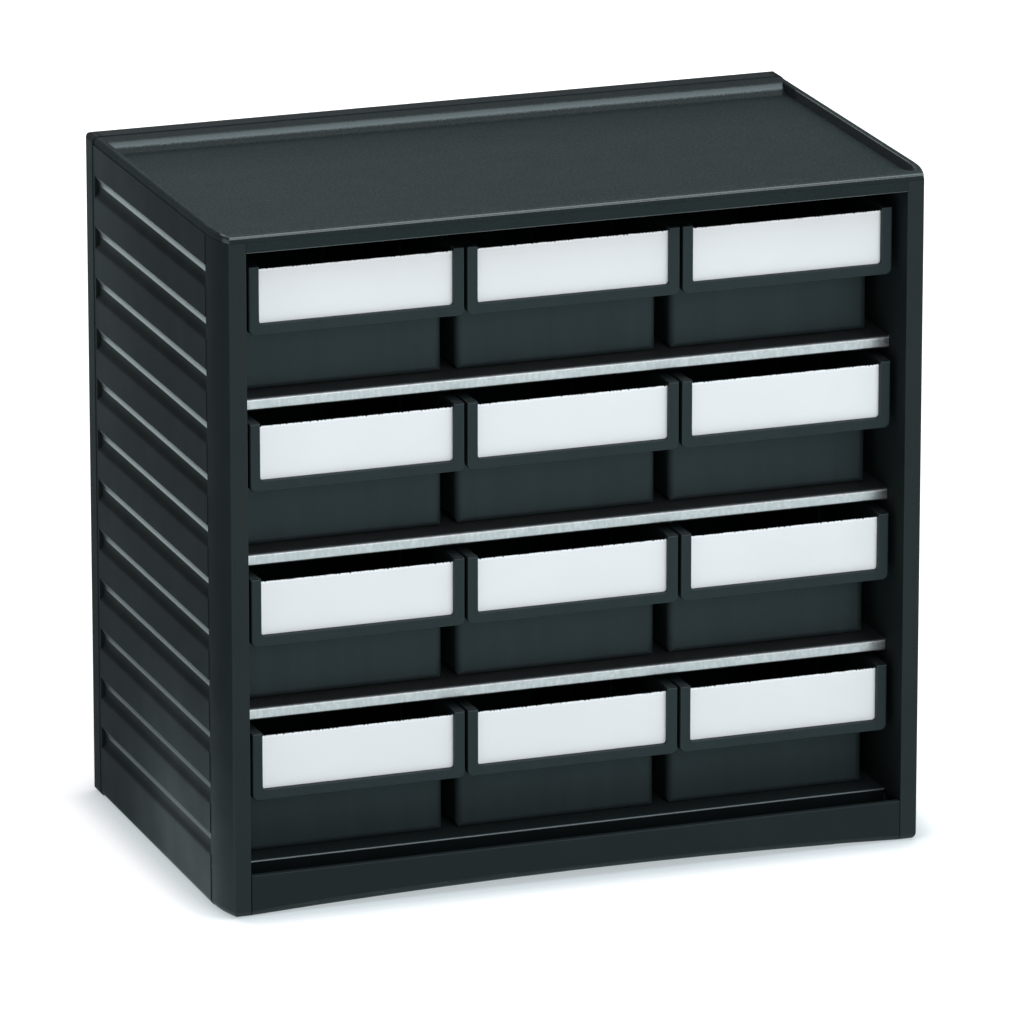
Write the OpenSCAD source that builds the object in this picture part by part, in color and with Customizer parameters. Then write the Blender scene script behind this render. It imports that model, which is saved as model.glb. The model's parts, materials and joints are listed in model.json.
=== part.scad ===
// Cabinet for small parts: twelve open-topped drawers on sheet-steel shelves,
// in a housing of moulded panels. X points right, Y to the back and Z up. The
// origin is on the floor under the middle of the cabinet.

/* [Cabinet] */
// Overall width, across the back cover
cab_w = 310; // [280:1:380]
// Overall depth, from the front posts to the back cover
cab_d = 180; // [150:1:230]
// Overall height, to the top of the back cover
cab_h = 290; // [270:1:350]
// Height of the deck that carries the lowest drawers
base_h = 18; // [16:0.5:24]
// Height of the head above the opening
head_h = 8; // [7:0.5:12]
// Thickness of a side panel, from its outer face to the opening
side_t = 11.4; // [10.8:0.1:16]

/* [Side panels] */
// Height of one groove in the outer face
groove_h = 9.2; // [6:0.1:12]
// Depth of a groove
groove_depth = 1.8; // [1:0.1:2.6]
// Radius that blends the lower edge of a groove into the face
groove_blend_r = 3; // [1:0.5:6]
// Upper edge of the first groove, below the top of the cabinet
groove_from_top = 16.1; // [14:0.1:20]
// Border behind the grooves, up to the back cover
groove_end_border = 2; // [1:0.5:8]
// Depth of the curved front post
post_depth = 19.2; // [14:0.1:26]
// How much the post narrows towards the front
post_narrowing = 3.9; // [2:0.1:5]
// Step from the grooved face down to the post
post_step = 0.3; // [0.1:0.1:0.8]
// Radius of the post's front edge
post_edge_r = 0.8; // [0.3:0.1:1.5]
// Radius of the post's edge beside the opening
post_inner_r = 0.4; // [0.2:0.1:1]
// Radius along the bottom of the posts, the side panels and the apron
foot_r = 3.5; // [1:0.1:5]
// Lip of the side panel that stands up beside the top panel
lip_t = 2.2; // [1.6:0.1:2.6]
// Inner wall of the hollow side panel
side_inner_wall = 2; // [1.5:0.1:3]
// Wall left between a groove and the hollow
side_outer_wall = 2.4; // [1.5:0.1:3]
// Web between two hollows, beside a shelf
side_web = 8; // [6:0.5:12]
// Border of the hollows behind the post
side_border = 4; // [3:0.5:8]

/* [Top panel] */
// Height of the panel's visible edge
cap_h = 3.1; // [2:0.1:4]
// How far the edge stands back from the posts
cap_inset = 0.2; // [0.1:0.05:0.6]
// Radius along the upper edges of the panel
cap_edge_r = 1.6; // [0.5:0.1:2]
// Depth of the tray
tray_depth = 4.5; // [3:0.1:6]
// Thickness of the tray's floor
tray_t = 2.1; // [1.5:0.1:3]
// Width of the rims left and right of the tray, from the side faces
rim_w = 4; // [3.4:0.1:8]
// Width of the band in front of the tray
band_w = 10; // [8:0.5:20]
// Width of the rim behind the tray, up to the back cover
rear_rim_w = 9; // [6:0.5:20]
// Run of the hollow slope from the rear rim down to the tray
cove_run = 7; // [4:0.5:10]
// Radius along the edges of the tray
tray_edge_r = 0.6; // [0.2:0.1:1]
// Width of the tray's pockets beside the band
pocket_w = 8.6; // [6:0.1:14]
// How far the pockets reach into the band
pocket_depth = 5; // [3:0.1:6]
// Thickness of the bar between the posts
head_bar_t = 3; // [2:0.5:6]
// Radius along the lower edge of this bar
head_edge_r = 0.5; // [0.2:0.1:1]

/* [Base panel] */
// Wall of the base panel and its apron
base_t = 2.4; // [1.8:0.1:3.5]
// Thickness of the trough behind the apron
trough_t = 5.6; // [5:0.1:8]
// Rise of the arch under the apron
arch_rise = 3.2; // [0.5:0.1:3.6]
// Seam between the apron and a post
apron_seam = 0.3; // [0.1:0.05:0.6]
// Height of the ribs under the deck
base_rib_h = 9.6; // [4:0.1:9.6]
// Thickness of these ribs and of the stop ribs in the back cover
rib_t = 1.8; // [1.2:0.1:2.4]
// Radius along the upper front edges of the apron and the deck
base_edge_r = 0.5; // [0.2:0.1:1]

/* [Shelves] */
// Thickness of the sheet
sheet_t = 1; // [0.7:0.1:1.2]
// Front edge of a shelf, behind the front of the cabinet
shelf_setback = 18; // [15:0.5:24]
// Height of the folded front edge
shelf_flange_h = 5.5; // [4.6:0.1:9]
// Outer radius of the fold
fold_r = 1.2; // [1.1:0.1:2]
// Length of sheet turned up inside the front edge
hem_h = 2.4; // [1.5:0.1:3]
// How deep a shelf sits in the slot of a side panel
tongue = 2.8; // [2:0.1:3.2]

/* [Drawers] */
// Gap between two neighbouring label frames
frame_gap = 1.3; // [0.6:0.1:3]
// Gap between a label frame and the side of the opening
frame_side_gap = 3.45; // [1:0.05:6]
// Front of the label frames, behind the front of the cabinet
frame_setback = 8; // [4:0.5:12]
// Height of the label frame
frame_h = 28.8; // [22:0.1:34]
// Width of the frame's bars
frame_bar = 4.5; // [3:0.1:7]
// How far the frame and the rim stand out beside the bin
frame_overhang = 2.45; // [1:0.05:4]
// Depth of the finger space under the frame
grip_depth = 21; // [16:0.5:30]
// Air between the rim and the shelf above
headroom = 2.5; // [1.5:0.1:5]
// Wall of the bin
bin_t = 1.8; // [1.2:0.1:2.6]
// Outer radius of the bin's upright edges
bin_r = 3; // [2:0.1:5]
// Outer radius along the bottom of the bin
bin_foot_r = 2.4; // [1:0.1:3]
// Thickness of the rim
rim_t = 1.8; // [1.2:0.1:3]
// Radius of the frame's lower corners
frame_r = 2.6; // [1:0.1:4]
// Radius along the front edge of the frame
frame_edge_r = 0.7; // [0.2:0.1:1]
// Radius of the window's lower corners
window_r = 1.3; // [0.3:0.1:1.5]
// Radius along the front edge of the window
window_edge_r = 0.4; // [0.2:0.1:0.8]
// Thickness of the wall behind the label
label_wall_t = 1.8; // [1.2:0.1:2.6]
// Thickness of the lip in front of the label
label_lip_t = 2.1; // [1.2:0.1:3]
// Width by which the lip covers the label
label_lap = 1.1; // [0.6:0.1:2]
// Upper edge of the label, below the top of the frame
label_drop = 1.7; // [0.5:0.1:6]
// Thickness of the label card
card_t = 0.4; // [0.2:0.1:0.5]
// How far the label stands above the wall behind it
card_rise = 0.7; // [0.2:0.1:2]
// How far the ribs that hold a divider stand out from the bin's side walls
divider_rib_h = 0.8; // [0.5:0.1:1.5]
// Thickness of one of these ribs
divider_rib_t = 1.2; // [0.8:0.1:2]
// Slot between two of them
divider_slot = 1.6; // [1:0.1:2.4]
// Distance between the two slots
divider_pitch = 48; // [30:1:70]
// Divider ribs below the top of the drawer
divider_drop = 6; // [3:0.5:12]

/* [Back cover] */
// Depth of the cover's rim
cover_d = 9.8; // [8:0.1:16]
// Wall of the cover
cover_t = 2.4; // [2:0.1:3.5]
// How far the rim stands proud of the side and top faces
cover_proud = 0.4; // [0.2:0.1:1]
// Radius of the cover's corners, seen from behind
cover_r = 3; // [1.5:0.1:5]
// Radius of the cover's rear edges
cover_edge_r = 2; // [1:0.1:2.2]
// Radius of the rim's front edges
cover_front_r = 0.3; // [0.1:0.05:0.4]
// Depth of the ribs that stop the drawers
stop_rib_h = 4.5; // [3:0.1:8]
// Gap between the ends of these ribs and the rim below and the top panel above
stop_rib_gap = 4; // [1:0.5:10]
// Border round the recessed field on the outside
field_border = 22; // [16:1:30]
// Depth of the field
field_depth = 0.8; // [0.3:0.1:1]
// Radius of its corners
field_r = 6; // [2:0.5:12]
// Hole of a keyhole slot
keyhole_r = 4.25; // [3.5:0.05:5]
// Width of the slot above it
keyhole_slot = 4.5; // [3:0.1:5.5]
// Length of the slot, from the centre of the hole to that of its round end
keyhole_slot_l = 9; // [7:0.5:12]
// Distance between the two keyholes
keyhole_pitch = 210; // [120:5:240]
// Keyholes below the top of the cabinet
keyhole_from_top = 30; // [20:1:60]

/* [Hidden] */
rows = 4;
columns = 3;
grooves_per_row = 3;
fit = 0.1;         // gap all round between parts that lie together
hairline = 0.05;   // gap in a seam that is closed
bore_fit = 0.05;   // gap round a screw's head and round its shank in the pilot hole
shelf_fit = 0.3;   // gap between the rear of a shelf and the stop ribs
core_r = 0.6;      // added to the radius inside the bottom of the bin
eps = 1;           // how far a cutter runs past the face it opens
merge = 0.5;       // how far two shapes of one piece run into each other
kiss = 0.005;      // how far two arcs overlap where one runs on into the other
$fn = 96;
FINE = 200;        // for the long curves
ARCH_FINE = 4000;  // for the arch, which is a short piece of a wide circle

// Planes
x_side = cab_w / 2 - cover_proud;
x_open = x_side - side_t;
y_front = -cab_d / 2;
y_back = cab_d / 2;
y_cover = y_back - cover_d;
y_wall = y_back - cover_t;
y_panels = y_cover - fit;
y_spigot = y_wall - fit;
y_shelf = y_front + shelf_setback;
y_shelf_end = y_wall - stop_rib_h - shelf_fit;
z_top = cab_h - cover_proud;
z_seam = z_top - cap_h;
z_tray = z_top - tray_depth;
z_roof = z_tray - tray_t;
z_head = cab_h - head_h;
row_pitch = (z_head - base_h) / rows;

// Posts: an arc that starts at the grooved face and ends at the front
post_r = (pow(post_narrowing, 2) + pow(post_depth, 2)) / (2 * post_narrowing);
post_x = x_side - post_step;
post_cx = post_x - post_r;
post_y = y_front + post_depth;
x_lip = post_x - lip_t;
x_spigot = cab_w / 2 - cover_t - 2 * fit;

// Tray
x_rim = x_side - rim_w;
y_band = y_front + band_w;
y_slope = y_panels - rear_rim_w;

// Grooves
groove_r = (pow(groove_h / 2, 2) + pow(groove_depth, 2)) / (2 * groove_depth);
groove_pitch = row_pitch / grooves_per_row;

// Arch under the apron, part of a circle
x_apron = x_open - apron_seam;
arch_r = (pow(x_apron, 2) + pow(arch_rise, 2)) / (2 * arch_rise);
arch_cz = arch_rise - arch_r;

// Drawers
frame_w = (2 * x_open - 2 * frame_side_gap - (columns - 1) * frame_gap) / columns;
column_pitch = frame_w + frame_gap;
bin_w = frame_w - 2 * frame_overhang;
drawer_h = row_pitch - shelf_flange_h - headroom;
y_frame = y_front + frame_setback;
y_bin = y_frame + grip_depth;
y_bin_end = y_wall - stop_rib_h - fit;
ledge_z = drawer_h - frame_h;
slot_t = card_t + 2 * fit;
plate_t = label_lip_t + slot_t + label_wall_t;
card_w = frame_w - 2 * frame_bar + 2 * label_lap;
card_z = ledge_z + frame_bar - 2 * label_lap;
card_top = drawer_h - label_drop;
wall_top = card_top - card_rise;

// Screws through the back cover
screw_r = 1.5;
screw_head_r = 3.2;
screw_head_h = 2;
screw_length = 14;
screw_sink = 0.2;        // how deep the head lies below the outer face
screw_hole_fit = 0.2;    // gap round the shank in the cover
cross_w = 3.6;
cross_t = 0.8;
cross_depth = 1.2;
screw_x = x_open + 5.2;  // in the solid webs of the side panels
screw_rows = [1, 3];

function column_x(c) = (c - (columns + 1) / 2) * column_pitch;
function deck_z(r) = base_h + (rows - r) * row_pitch;
function drawer_name(r, c) = str("drawer_", r, "_", c);
function label_name(r, c) = str("label_", r, "_", c);

// ---- Helpers ----

module block(low, high) {
    translate(low) cube(high - low);
}

module both_sides() {
    children();
    mirror([1, 0, 0]) children();
}

// Rectangle with all four corners round
module round_rect(low, high, r) {
    translate(low + [r, 0]) square(high - low - [2 * r, 0]);
    translate(low + [0, r]) square(high - low - [0, 2 * r]);
    for (x = [low[0] + r, high[0] - r]) for (y = [low[1] + r, high[1] - r]) translate([x, y]) circle(r);
}

// Rectangle with its two lower corners round
module round_bottom(low, high, r) {
    translate(low + [r, 0]) square(high - low - [2 * r, 0]);
    translate(low + [0, r]) square(high - low - [0, r]);
    for (x = [low[0] + r, high[0] - r]) translate([x, low[1] + r]) circle(r);
}

// What is cut off to round the corner at p, where dir points out of the corner
module corner_cut(p, dir, r) {
    inner = p - dir * r;
    outer = p + dir * eps;
    difference() {
        translate([min(inner[0], outer[0]), min(inner[1], outer[1])]) square(r + eps);
        translate(inner) circle(r);
    }
}

// Extrudes an outline drawn in X and Z along Y
module along_y(from, to) {
    translate([0, to, 0]) rotate([90, 0, 0]) linear_extrude(to - from) children();
}

// Extrudes an outline drawn in Y and Z along X
module along_x(from, to) {
    translate([from, 0, 0]) rotate([90, 0, 90]) linear_extrude(to - from) children();
}

// Turns an outline drawn in X and Z round the centre of the right post's arc
module round_post() {
    translate([post_cx, post_y, 0]) rotate([0, 0, -90])
        rotate_extrude(angle = 90, $fn = FINE) translate([-post_cx, 0]) children();
}

// ---- Side panels ----

module side_outline(x_out) {
    difference() {
        union() {
            translate([x_open, 0]) square([x_out - x_open, z_roof]);
            translate([x_lip, 0]) square([x_out - x_lip, z_seam]);
        }
        corner_cut([x_out, 0], [1, -1], foot_r);
    }
}

// What is cut off to round the post's front edge, tangent to the arc and the front
module post_edge_cut() {
    cy = y_front + post_edge_r;
    cx = post_cx + sqrt(pow(post_r - post_edge_r, 2) - pow(cy - post_y, 2));
    out = [cx - post_cx, cy - post_y] / (post_r - post_edge_r);
    difference() {
        translate([cx, cy]) polygon(3 * post_edge_r * [[0, 0], [0, -1], [1, -1], out]);
        translate([cx, cy]) circle(post_edge_r);
    }
}

module post() {
    difference() {
        intersection() {
            union() {
                round_post() side_outline(post_x);
                // front lip beside the top panel
                intersection() {
                    round_post() translate([post_cx + eps, 0]) square([post_r - eps, z_seam]);
                    block([x_open, y_front, z_roof - merge], [x_side, y_front + lip_t, z_seam]);
                }
            }
            block([x_open, y_front, 0], [x_side + eps, post_y, z_seam]);
        }
        translate([0, 0, -eps]) linear_extrude(cab_h) {
            post_edge_cut();
            corner_cut([x_open, y_front], [-1, -1], post_inner_r);
        }
        along_x(x_open - eps, x_side + eps) corner_cut([y_front, 0], [-1, -1], foot_r);
    }
}

// Groove in X and Z with its axis at the origin. Its upper edge is crisp, and its
// lower one runs out into the face in an arc of its own.
module groove_outline() {
    x_face = groove_depth - groove_r;
    x_blend = x_face - groove_blend_r;
    apart = groove_r + groove_blend_r - kiss;
    blend = [x_blend, -sqrt(pow(apart, 2) - pow(x_blend, 2))];
    meet = blend * groove_r / apart;
    circle(groove_r, $fn = FINE);
    difference() {
        polygon([[x_face, blend[1]], [x_face + eps, blend[1]], [0, 0], meet]);
        translate(blend) circle(groove_blend_r, $fn = FINE);
    }
}

module side_grooves() {
    x_axis = x_side - groove_depth + groove_r;
    z_first = cab_h - groove_from_top - groove_h / 2;
    for (k = [0:rows * grooves_per_row - 1])
        along_y(post_y, y_panels - groove_end_border)
            translate([x_axis, z_first - k * groove_pitch]) groove_outline();
}

// Hollows between the inner and the outer wall, open to the back
module side_hollows() {
    x_hollow = x_side - groove_depth - side_outer_wall;
    for (r = [1:rows])
        block([x_open + side_inner_wall, post_y + side_border, deck_z(r) + side_web / 2],
              [x_hollow, y_back, min(deck_z(r) + row_pitch, z_roof) - side_web / 2]);
}

// Slots for the shelves and for the deck of the base panel
module side_slots() {
    for (r = [1:rows - 1])
        block([x_open - eps, y_shelf - fit, deck_z(r) - sheet_t - hairline],
              [x_open + tongue + fit, y_back, deck_z(r) + hairline]);
    block([x_open - eps, y_shelf - fit, base_h - base_t - hairline],
          [x_open + tongue + fit, y_back, base_h + hairline]);
}

module side_panel() {
    difference() {
        union() {
            along_y(post_y, y_panels) side_outline(x_side);
            along_y(y_panels - merge, y_spigot) translate([x_open, cover_t + fit])
                square([x_spigot - x_open, z_roof - cover_t - fit]);
            post();
        }
        side_grooves();
        side_hollows();
        side_slots();
        for (r = screw_rows)
            translate([screw_x, y_spigot + eps, deck_z(r)]) rotate([90, 0, 0])
                cylinder(h = screw_length + eps, r = screw_r + bore_fit);
    }
}

module left_side_panel() {
    color([0.17, 0.20, 0.21]) mirror([1, 0, 0]) side_panel();
}

module right_side_panel() {
    color([0.17, 0.20, 0.21]) side_panel();
}

// ---- Top panel ----

// Outline in X and Y that follows the side faces and the posts, out to x_out
module slab_plan(x_out) {
    both_sides() {
        translate([0, post_y]) square([x_out, y_panels - post_y]);
        translate([0, y_front]) square([post_cx, y_panels - y_front]);
        translate([post_cx, post_y]) circle(x_out - post_cx, $fn = FINE);
    }
}

// Slab that carries the tray, with round upper edges
module cap() {
    x_cap = post_x - cap_inset;
    y_cap = y_front + cap_inset;
    difference() {
        translate([0, 0, z_seam]) linear_extrude(cap_h) slab_plan(x_cap);
        block([-cab_w, y_front - cab_d, z_seam - eps], [cab_w, y_cap, z_top + eps]);
        both_sides() {
            along_y(post_y, y_panels + eps) corner_cut([x_cap, z_top], [1, 1], cap_edge_r);
            round_post() corner_cut([x_cap, z_top], [1, 1], cap_edge_r);
        }
        along_x(-cab_w, cab_w) corner_cut([y_cap, z_top], [-1, 1], cap_edge_r);
    }
}

// Part of the panel that drops in between the side panels
module cap_core() {
    x_core = min(x_lip - fit, x_spigot);
    intersection() {
        translate([0, 0, z_roof]) linear_extrude(z_seam + merge - z_roof) slab_plan(x_core);
        block([-cab_w, y_front + lip_t + fit, z_roof], [cab_w, y_panels, z_seam + merge]);
    }
    block([-x_core, y_panels - merge, z_roof], [x_core, y_spigot, cab_h - cover_t - fit]);
    difference() {
        block([-x_open + hairline, y_front, z_head], [x_open - hairline, y_front + head_bar_t, z_seam]);
        along_x(-x_open, x_open) corner_cut([y_front, z_head], [-1, -1], head_edge_r);
    }
}

// Outline of the tray, with the two pockets beside the band
module tray_plan() {
    intersection() {
        slab_plan(x_rim);
        union() {
            translate([-cab_w, y_band]) square([2 * cab_w, cab_d]);
            both_sides() translate([x_rim - pocket_w, y_band]) polygon([
                [0, 1], [0, 0], [pocket_depth, -pocket_depth], [pocket_w, -pocket_depth], [pocket_w, 1]]);
        }
    }
}

// Section of the tray in Y and Z: flat, with a hollow slope up to the rear rim
module tray_section() {
    y_foot = y_slope - cove_run;
    cove_r = (pow(cove_run, 2) + pow(tray_depth, 2)) / (2 * tray_depth);
    translate([y_front, z_tray]) square([y_foot - y_front, tray_depth + eps]);
    intersection() {
        translate([y_foot, z_tray + cove_r]) circle(cove_r, $fn = FINE);
        translate([y_foot - merge, z_tray]) square([cove_run + merge, tray_depth + eps]);
    }
}

// What is cut off to round the straight upper edge from p to q, with the tray on its left.
// It runs past a corner of the band, and stops short of a corner of the tray.
module tray_edge_cut(p, q, past_p, past_q) {
    run = q - p;
    translate(p) rotate(atan2(run[1], run[0])) along_x(-past_p, norm(run) + past_q)
        corner_cut([0, z_top], [1, 1], tray_edge_r);
}

module tray() {
    x_pocket = x_rim - pocket_w;
    y_pocket = y_band - pocket_depth;
    intersection() {
        translate([0, 0, z_tray]) linear_extrude(tray_depth + eps) tray_plan();
        along_x(-cab_w, cab_w) tray_section();
    }
    past = tray_edge_r;
    tray_edge_cut([-x_pocket, y_band], [x_pocket, y_band], past, past);
    both_sides() {
        tray_edge_cut([x_pocket, y_band], [x_pocket + pocket_depth, y_pocket], past, -past / 2);
        tray_edge_cut([x_rim, post_y], [x_rim, y_slope], 0, -past / 2);
        intersection() {
            round_post() corner_cut([x_rim, z_top], [-1, 1], tray_edge_r);
            block([0, y_pocket + past / 2, z_tray], [cab_w, post_y, z_top + eps]);
        }
    }
}

module top_panel() {
    color([0.22, 0.26, 0.27]) difference() {
        union() {
            cap();
            cap_core();
        }
        tray();
    }
}

// ---- Base panel ----

// Space under the arch, with the round lower edge of the apron
module arch_cut() {
    span = 2 * asin((x_apron + eps) / arch_r);
    translate([0, 0, arch_cz]) {
        along_y(y_front - eps, y_shelf + base_t + eps) circle(arch_r, $fn = ARCH_FINE);
        rotate([-90, 0, 0]) rotate([0, 0, -90 - span / 2]) rotate_extrude(angle = span, $fn = ARCH_FINE)
            corner_cut([arch_r, y_front], [-1, -1], foot_r);
    }
}

module base_outline() {
    difference() {
        union() {
            translate([y_front, 0]) square([base_t, base_h]);
            translate([y_front, 0]) square([shelf_setback + base_t, trough_t]);
            translate([y_shelf, 0]) square([base_t, base_h]);
            translate([y_shelf, base_h - base_t]) square([y_shelf_end - y_shelf, base_t]);
        }
        corner_cut([y_front, base_h], [-1, 1], base_edge_r);
        corner_cut([y_shelf, base_h], [-1, 1], base_edge_r);
    }
}

module base_panel() {
    z_deck = base_h - base_t;
    color([0.15, 0.18, 0.18]) {
        difference() {
            along_x(-x_apron, x_apron) base_outline();
            arch_cut();
        }
        block([-x_open - tongue, y_shelf + base_edge_r, z_deck], [x_open + tongue, y_shelf_end, base_h]);
        for (k = [1 - columns:columns - 1])
            block([(k * column_pitch - rib_t) / 2, y_shelf + base_t - merge, z_deck - base_rib_h],
                  [(k * column_pitch + rib_t) / 2, y_shelf_end, z_deck + merge]);
    }
}

// ---- Shelves ----

// Section of the folded sheet, drawn in Y and Z with its upper face at 0
module shelf_outline() {
    hem_r = sheet_t + 0.1;
    length = y_shelf_end - y_shelf;
    // deck
    translate([fold_r, -sheet_t]) square([length - 2 * fold_r, sheet_t]);
    // front fold and face
    fold(fold_r, -fold_r, 180);
    translate([0, -shelf_flange_h + hem_r]) square([sheet_t, shelf_flange_h - hem_r - fold_r]);
    // hem turned up inside the face
    difference() {
        translate([hem_r, -shelf_flange_h + hem_r]) circle(hem_r);
        translate([hem_r, -shelf_flange_h + hem_r]) circle(hem_r - sheet_t);
        translate([0, -shelf_flange_h + hem_r]) square([2 * hem_r, hem_r]);
    }
    translate([2 * hem_r - sheet_t, -shelf_flange_h + hem_r]) square([sheet_t, hem_h]);
    // rear fold and face
    fold(length - fold_r, -fold_r, 90);
    translate([length - sheet_t, -shelf_flange_h]) square([sheet_t, shelf_flange_h - fold_r]);
}

// Quarter of a ring, from the angle given and back by a right angle
module fold(x, y, angle) {
    translate([x, y]) rotate(angle - 90) difference() {
        intersection() {
            circle(fold_r);
            square(fold_r);
        }
        circle(fold_r - sheet_t);
    }
}

module shelf(r) {
    color([0.72, 0.75, 0.76]) translate([0, 0, deck_z(r)]) {
        translate([0, y_shelf, 0]) along_x(-x_apron, x_apron) shelf_outline();
        block([-x_open - tongue, y_shelf + fold_r, -sheet_t], [x_open + tongue, y_shelf_end - fold_r, 0]);
    }
}

// ---- Drawers ----

// Block with round upright and bottom edges, z from z0
module tub(x, y0, y1, z0, r, foot) {
    high = drawer_h + eps;
    intersection() {
        linear_extrude(high) round_rect([-x, y0], [x, y1], r);
        along_y(y0, y1) round_bottom([-x, z0], [x, high], foot);
        along_x(-x, x) round_bottom([y0, z0], [y1, high], foot);
    }
}

// Plate that holds the label, with round lower corners and a round front edge
module label_frame() {
    half = frame_w / 2;
    y_end = y_frame + plate_t;
    corner = [half - frame_r, ledge_z + frame_r];
    intersection() {
        union() {
            block([-half, y_frame, corner[1]], [half, y_end, drawer_h]);
            block([-corner[0], y_frame, ledge_z], [corner[0], y_end, corner[1] + merge]);
        }
        linear_extrude(drawer_h) round_bottom([-half, y_frame], [half, y_end], frame_edge_r);
        along_x(-half, half) difference() {
            translate([y_frame, ledge_z]) square([plate_t, frame_h]);
            corner_cut([y_frame, ledge_z], [-1, -1], frame_edge_r);
            corner_cut([y_frame, drawer_h], [-1, 1], frame_edge_r);
        }
    }
    both_sides() translate([corner[0], y_frame, corner[1]]) rotate([-90, 0, 0])
        rotate_extrude(angle = 90) difference() {
            square([frame_r, plate_t]);
            corner_cut([frame_r, 0], [1, -1], frame_edge_r);
        }
}

// Window, slot and finger notch for the label card, open at the top
module label_cut() {
    window = frame_w / 2 - frame_bar;
    slot = card_w / 2 + fit;
    along_y(y_frame - eps, y_frame + label_lip_t + slot_t / 2)
        round_bottom([-window, ledge_z + frame_bar], [window, drawer_h + eps], window_r);
    block([-slot, y_frame + label_lip_t, card_z], [slot, y_frame + label_lip_t + slot_t, drawer_h + eps]);
    block([-window, y_frame - eps, wall_top], [window, y_frame + plate_t + eps, drawer_h + eps]);
    both_sides() translate([0, 0, ledge_z + frame_bar + window_r]) linear_extrude(frame_h)
        corner_cut([window, y_frame], [-1, -1], window_edge_r);
    along_x(window_r - window, window - window_r)
        corner_cut([y_frame, ledge_z + frame_bar], [-1, 1], window_edge_r);
}

// Pairs of upright ribs on the side walls, which hold a divider in the slot between them
module divider_ribs() {
    y_middle = (y_bin + y_bin_end) / 2;
    both_sides() for (slot = [-1, 1]) for (rib = [-1, 1])
        translate([0, y_middle + slot * divider_pitch / 2 + rib * (divider_slot + divider_rib_t) / 2, 0])
            block([bin_w / 2 - bin_t - divider_rib_h, -divider_rib_t / 2, bin_t - merge],
                  [bin_w / 2 - bin_t + merge, divider_rib_t / 2, drawer_h - divider_drop]);
}

module drawer_shape() {
    half = bin_w / 2;
    rim = frame_w / 2;
    difference() {
        union() {
            intersection() {
                tub(half, y_bin, y_bin_end, 0, bin_r, bin_foot_r);
                block([-half, y_bin, 0], [half, y_bin_end, drawer_h]);
            }
            // upper part of the front, out over the finger space
            block([-half, y_frame + plate_t - 1, ledge_z], [half, y_bin + bin_r, drawer_h]);
            label_frame();
            block([-rim, y_frame + 1, drawer_h - rim_t], [rim, y_bin_end, drawer_h]);
        }
        tub(half - bin_t, y_bin + bin_t, y_bin_end - bin_t, bin_t,
            bin_r - bin_t, bin_foot_r - bin_t + core_r);
        block([-half + bin_t, y_frame + plate_t, ledge_z + bin_t],
              [half - bin_t, y_bin + bin_t + bin_r, drawer_h + eps]);
        label_cut();
    }
}

module drawer(r, c) {
    color([0.20, 0.23, 0.24]) translate([column_x(c), 0, deck_z(r) + fit]) {
        drawer_shape();
        divider_ribs();
    }
}

module label(r, c) {
    y_card = y_frame + label_lip_t + slot_t - card_t;
    color([0.93, 0.94, 0.95]) translate([column_x(c), 0, deck_z(r) + fit])
        block([-card_w / 2, y_card, card_z], [card_w / 2, y_card + card_t, card_top]);
}

// ---- Back cover ----

module cover_shell() {
    half = cab_w / 2;
    difference() {
        intersection() {
            along_y(y_cover, y_back) round_rect([-half, 0], [half, cab_h], cover_r);
            linear_extrude(cab_h) difference() {
                translate([-half, y_cover]) square([cab_w, cover_d]);
                both_sides() {
                    corner_cut([half, y_back], [1, 1], cover_edge_r);
                    corner_cut([half, y_cover], [1, -1], cover_front_r);
                }
            }
            along_x(-half, half) difference() {
                translate([y_cover, 0]) square([cover_d, cab_h]);
                corner_cut([y_back, cab_h], [1, 1], cover_edge_r);
                corner_cut([y_back, 0], [1, -1], cover_edge_r);
                corner_cut([y_cover, cab_h], [-1, 1], cover_front_r);
                corner_cut([y_cover, 0], [-1, -1], cover_front_r);
            }
        }
        block([-half + cover_t, y_cover - eps, cover_t], [half - cover_t, y_wall, cab_h - cover_t]);
    }
}

// Upright ribs inside the cover, where the drawers stop
module stop_ribs() {
    for (c = [1:columns]) for (side = [-1, 1]) translate([column_x(c) + side * bin_w / 4, 0, 0])
        block([-rib_t / 2, y_wall - stop_rib_h, cover_t + stop_rib_gap],
              [rib_t / 2, y_wall + merge, z_roof - stop_rib_gap]);
}

module keyhole() {
    translate([0, y_wall - eps, 0]) along_y(0, cover_t + 2 * eps) {
        circle(keyhole_r);
        translate([-keyhole_slot / 2, 0]) square([keyhole_slot, keyhole_slot_l]);
        translate([0, keyhole_slot_l]) circle(keyhole_slot / 2);
    }
}

// Countersunk hole through the cover, with its axis along Z and the outer face at 0
module screw_seat() {
    translate([0, 0, -cover_t - eps]) cylinder(h = cover_t + 2 * eps, r = screw_r + screw_hole_fit);
    translate([0, 0, -screw_sink]) {
        translate([0, 0, -screw_head_h])
            cylinder(h = screw_head_h, r1 = screw_r + bore_fit, r2 = screw_head_r + bore_fit);
        cylinder(h = screw_sink + eps, r = screw_head_r + bore_fit);
    }
}

// Puts a screw or its seat, drawn along Z, at each of the four places
module at_screws() {
    both_sides() for (r = screw_rows)
        translate([screw_x, y_back, deck_z(r)]) rotate([-90, 0, 0]) children();
}

module back_cover() {
    field = [cab_w / 2, cab_h] - [field_border, field_border];
    color([0.16, 0.19, 0.20]) difference() {
        union() {
            cover_shell();
            stop_ribs();
        }
        along_y(y_back - field_depth, y_back + eps)
            round_rect([-field[0], field_border], field, field_r);
        for (x = [-1, 1]) translate([x * keyhole_pitch / 2, 0, cab_h - keyhole_from_top]) keyhole();
        at_screws() screw_seat();
    }
}

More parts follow.
